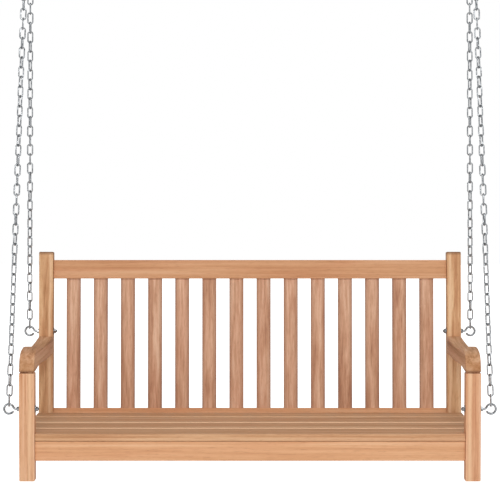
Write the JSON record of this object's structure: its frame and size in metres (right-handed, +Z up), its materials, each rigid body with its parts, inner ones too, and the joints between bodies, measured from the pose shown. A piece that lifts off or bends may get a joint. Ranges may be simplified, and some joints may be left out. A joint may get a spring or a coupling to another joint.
{
  "type": "porch swing",
  "caption": "Slatted teak porch swing bench with shaped armrests, hung from the ceiling by galvanised chains.",
  "frame": {"origin": "under the middle of the bench, at the height of the leg ends", "axes": "+Z up, +Y from the seat's front to its back, +X to the sitter's left, which is the right of a front view"},
  "size_m": [1.287, 0.5714, 1.8462],
  "materials": {
    "teak_frame": "planed teak, oiled, fine straight grain",
    "teak_seat": "planed teak, oiled, rounded edges",
    "teak_back": "planed teak, oiled, redder streaks",
    "zinc_chain": "galvanised welded link chain",
    "zinc_fittings": "zinc plated steel"
  },
  "bodies": {
    "hanger": {"ceiling_plate_left": "zinc_fittings", "ceiling_plate_right": "zinc_fittings", "ceiling_eye_left": "zinc_fittings", "ceiling_eye_right": "zinc_fittings"},
    "rings": {"hanging_ring_left": "zinc_fittings", "hanging_ring_right": "zinc_fittings"},
    "left_chains": {"chain_front_left": "zinc_chain", "chain_back_left": "zinc_chain"},
    "bench": {"front_leg_left": "teak_frame", "front_leg_right": "teak_frame", "back_post_left": "teak_frame", "back_post_right": "teak_frame", "armrest_left": "teak_frame", "armrest_right": "teak_frame", "front_rail": "teak_frame", "rear_rail": "teak_frame", "top_rail": "teak_frame", "side_rail_left": "teak_frame", "side_rail_right": "teak_frame", "centre_support": "teak_frame", "seat_slat_1": "teak_seat", "seat_slat_2": "teak_seat", "seat_slat_3": "teak_seat", "seat_slat_4": "teak_seat", "back_slat_01": "teak_back", "back_slat_02": "teak_back", "back_slat_03": "teak_back", "back_slat_04": "teak_back", "back_slat_05": "teak_back", "back_slat_06": "teak_back", "back_slat_07": "teak_back", "back_slat_08": "teak_back", "back_slat_09": "teak_back", "back_slat_10": "teak_back", "back_slat_11": "teak_back", "back_slat_12": "teak_back", "back_slat_13": "teak_back", "back_slat_14": "teak_back", "eye_bolt_front_left": "zinc_fittings", "eye_bolt_front_right": "zinc_fittings", "eye_bolt_back_left": "zinc_fittings", "eye_bolt_back_right": "zinc_fittings", "washer_outer_front_left": "zinc_fittings", "washer_outer_front_right": "zinc_fittings", "washer_outer_back_left": "zinc_fittings", "washer_outer_back_right": "zinc_fittings", "washer_inner_front_left": "zinc_fittings", "washer_inner_front_right": "zinc_fittings", "washer_inner_back_left": "zinc_fittings", "washer_inner_back_right": "zinc_fittings", "nut_outer_front_left": "zinc_fittings", "nut_outer_front_right": "zinc_fittings", "nut_outer_back_left": "zinc_fittings", "nut_outer_back_right": "zinc_fittings", "nut_inner_front_left": "zinc_fittings", "nut_inner_front_right": "zinc_fittings", "nut_inner_back_left": "zinc_fittings", "nut_inner_back_right": "zinc_fittings"},
    "right_chains": {"chain_front_right": "zinc_chain", "chain_back_right": "zinc_chain"}
  },
  "joints": [
    {"name": "swing", "type": "hinge", "parent": "hanger", "child": "rings", "pos_m": [0, 0.03131, 1.7972], "axis": [1, 0, 0], "range_deg": [-25, 25]},
    {"name": "sway", "type": "hinge", "parent": "rings", "child": "left_chains", "pos_m": [-0.597, 0.03131, 1.7585], "axis": [0, 0.9528, 0.3037], "range_deg": [-4, 4]},
    {"name": "sway_bench", "type": "hinge", "parent": "left_chains", "child": "bench", "pos_m": [-0.628, -0.26571, 0.1952], "axis": [0, 0.9528, 0.3037], "range_deg": [-4, 4]},
    {"name": "sway_right", "type": "hinge", "parent": "bench", "child": "right_chains", "pos_m": [0.628, -0.26571, 0.1952], "axis": [0, 0.9528, 0.3037], "range_deg": [-4, 4]}
  ],
  "couplings": [
    {"joint": "sway_bench", "follows": "sway", "ratio": -0.95064},
    {"joint": "sway_right", "follows": "sway", "ratio": 0.95064}
  ]
}
